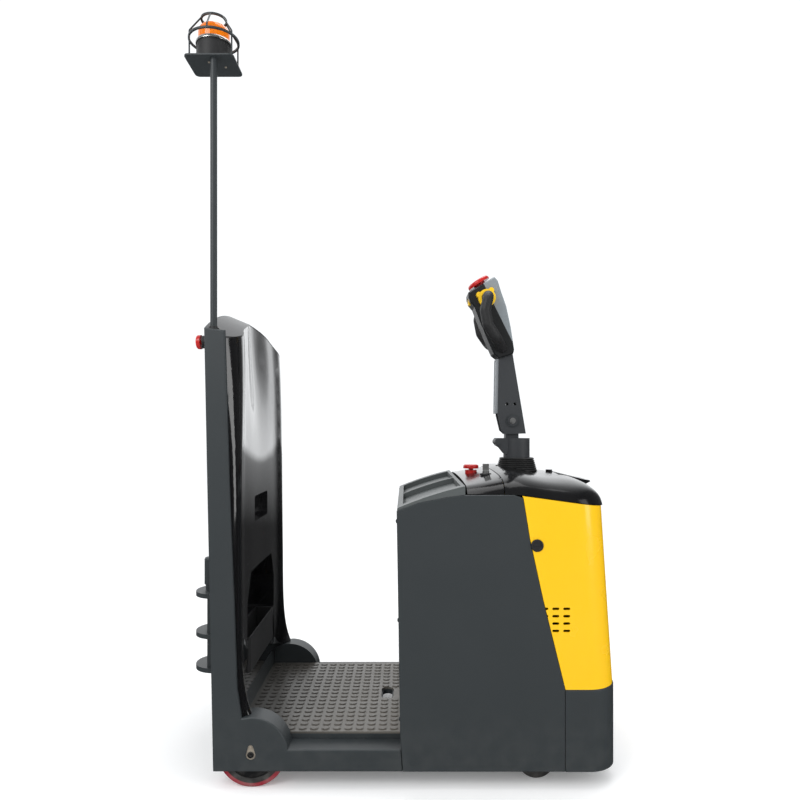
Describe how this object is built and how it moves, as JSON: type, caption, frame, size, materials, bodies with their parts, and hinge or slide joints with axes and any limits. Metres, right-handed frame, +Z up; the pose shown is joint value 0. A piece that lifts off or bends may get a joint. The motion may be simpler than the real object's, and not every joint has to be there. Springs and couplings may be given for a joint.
{
  "type": "stand-on electric tow tractor",
  "caption": "Stand-on electric tow tractor with a tall backrest, rubber platform, tiller steering, beacon mast and rear multi-level coupling",
  "frame": {"origin": "on the ground under the middle of the bounding box", "axes": "+X forward, +Y to the left, +Z up"},
  "size_m": [1.3439, 0.72, 2.2658],
  "materials": {
    "dark_coat": "fine textured powder coat",
    "gloss_black": "polished",
    "matte_black": "fine grain",
    "yellow_cover": "satin gloss",
    "red_plastic": "gloss",
    "yellow_plastic": "satin",
    "tread": "cast polyurethane",
    "zinc": "zinc plated",
    "steel": "machined",
    "cast": "painted casting",
    "mat": "studded rubber",
    "boot": "moulded rubber",
    "amber": "tinted clear lens",
    "lid_grey": "fine grain",
    "grey_plastic": "fine grain",
    "hub_black": "satin"
  },
  "bodies": {
    "chassis": {"frame": "dark_coat", "side_plate_left": "dark_coat", "side_plate_right": "dark_coat", "wheel_box_left": "dark_coat", "wheel_box_right": "dark_coat", "platform_plate": "dark_coat", "platform_mat": "mat", "kick_plate": "dark_coat", "rear_panel": "dark_coat", "backrest_shell": "gloss_black", "top_cap": "matte_black", "storage_bin": "matte_black", "hitch_bracket": "dark_coat", "rear_axles": "steel", "axle_keepers": "zinc", "power_side_left": "dark_coat", "power_side_right": "dark_coat", "operator_wall": "dark_coat", "bumper_skirt": "dark_coat", "front_cover": "yellow_cover", "console_cover": "gloss_black", "hood_cover": "gloss_black", "battery": "matte_black", "steering_boot": "boot", "beacon_mast": "dark_coat", "beacon_plate": "dark_coat", "beacon_base": "matte_black", "beacon_lens": "amber", "beacon_guard": "dark_coat", "console_stop_collar": "red_plastic", "rear_stop_collar": "matte_black", "key_barrel": "steel"},
    "hitch_pin": {"hitch_pin": "dark_coat"},
    "rear_wheel_left": {"rear_tread_left": "tread", "rear_hub_left": "hub_black"},
    "rear_wheel_right": {"rear_tread_right": "tread", "rear_hub_right": "hub_black"},
    "battery_lid": {"battery_lid": "lid_grey"},
    "steering": {"drive_unit": "cast", "steering_column": "steel", "tiller_casting": "cast"},
    "drive_wheel": {"drive_tread": "tread", "drive_hub": "cast"},
    "tiller": {"tiller_arm": "cast", "tiller_head": "grey_plastic", "tiller_grips": "matte_black"},
    "drive_switch": {"drive_switch": "yellow_plastic"},
    "head_button": {"head_button": "red_plastic"},
    "rocker": {"rocker": "yellow_plastic"},
    "caster_left": {"caster_fork_left": "zinc"},
    "caster_right": {"caster_fork_right": "zinc"},
    "caster_wheels_left": {"caster_wheels_left": "hub_black"},
    "caster_wheels_right": {"caster_wheels_right": "hub_black"},
    "console_stop_button": {"console_stop_button": "red_plastic"},
    "rear_stop_button": {"rear_stop_button": "red_plastic"},
    "key": {"key": "steel"}
  },
  "joints": [
    {"name": "rear_wheel_left_spin", "type": "hinge", "parent": "chassis", "child": "rear_wheel_left", "pos_m": [-0.405, 0.322, 0.1], "axis": [0, 1, 0], "continuous": true},
    {"name": "rear_wheel_right_spin", "type": "hinge", "parent": "chassis", "child": "rear_wheel_right", "pos_m": [-0.405, -0.322, 0.1], "axis": [0, 1, 0], "continuous": true},
    {"name": "steering_turn", "type": "hinge", "parent": "chassis", "child": "steering", "pos_m": [0.421, 0, 0.5], "axis": [0, 0, 1], "range_deg": [-90, 90]},
    {"name": "drive_wheel_spin", "type": "hinge", "parent": "steering", "child": "drive_wheel", "pos_m": [0.421, 0, 0.115], "axis": [0, 1, 0], "continuous": true},
    {"name": "tiller_tilt", "type": "hinge", "parent": "steering", "child": "tiller", "pos_m": [0.403, 0, 1.067], "axis": [0, 1, 0], "range_deg": [-68, 0], "stiffness_Nm_per_rad": 40, "springref_deg": 34.38},
    {"name": "drive_switch_turn", "type": "hinge", "parent": "tiller", "child": "drive_switch", "pos_m": [0.314, 0, 1.478], "axis": [0, 1, 0], "range_deg": [-20, 20], "stiffness_Nm_per_rad": 0.6},
    {"name": "head_button_press", "type": "slide", "parent": "tiller", "child": "head_button", "axis": [0.5299, 0, -0.848], "range_m": [0, 0.005], "stiffness_N_per_m": 900},
    {"name": "rocker_press", "type": "slide", "parent": "tiller", "child": "rocker", "axis": [1, 0, 0], "range_m": [0, 0.002], "stiffness_N_per_m": 600},
    {"name": "caster_left_swivel", "type": "hinge", "parent": "chassis", "child": "caster_left", "pos_m": [0.449, 0.259, 0.12], "axis": [0, 0, 1], "continuous": true},
    {"name": "caster_right_swivel", "type": "hinge", "parent": "chassis", "child": "caster_right", "pos_m": [0.449, -0.259, 0.12], "axis": [0, 0, 1], "continuous": true},
    {"name": "caster_left_roll", "type": "hinge", "parent": "caster_left", "child": "caster_wheels_left", "pos_m": [0.431, 0.259, 0.056], "axis": [0, 1, 0], "continuous": true},
    {"name": "caster_right_roll", "type": "hinge", "parent": "caster_right", "child": "caster_wheels_right", "pos_m": [0.431, -0.259, 0.056], "axis": [0, 1, 0], "continuous": true},
    {"name": "hitch_pin_lift", "type": "slide", "parent": "chassis", "child": "hitch_pin", "axis": [0, 0, 1], "range_m": [0, 0.16]},
    {"name": "battery_lid_open", "type": "hinge", "parent": "chassis", "child": "battery_lid", "pos_m": [0.014, 0, 0.803], "axis": [0, -1, 0], "range_deg": [0, 95]},
    {"name": "console_stop_press", "type": "slide", "parent": "chassis", "child": "console_stop_button", "axis": [0, 0, -1], "range_m": [0, 0.004], "stiffness_N_per_m": 800},
    {"name": "rear_stop_press", "type": "slide", "parent": "chassis", "child": "rear_stop_button", "axis": [0.9998, 0, 0.0203], "range_m": [0, 0.004], "stiffness_N_per_m": 800},
    {"name": "key_turn", "type": "hinge", "parent": "chassis", "child": "key", "pos_m": [0.298, -0.15, 0.905], "axis": [0, 0, 1], "range_deg": [0, 90]}
  ]
}
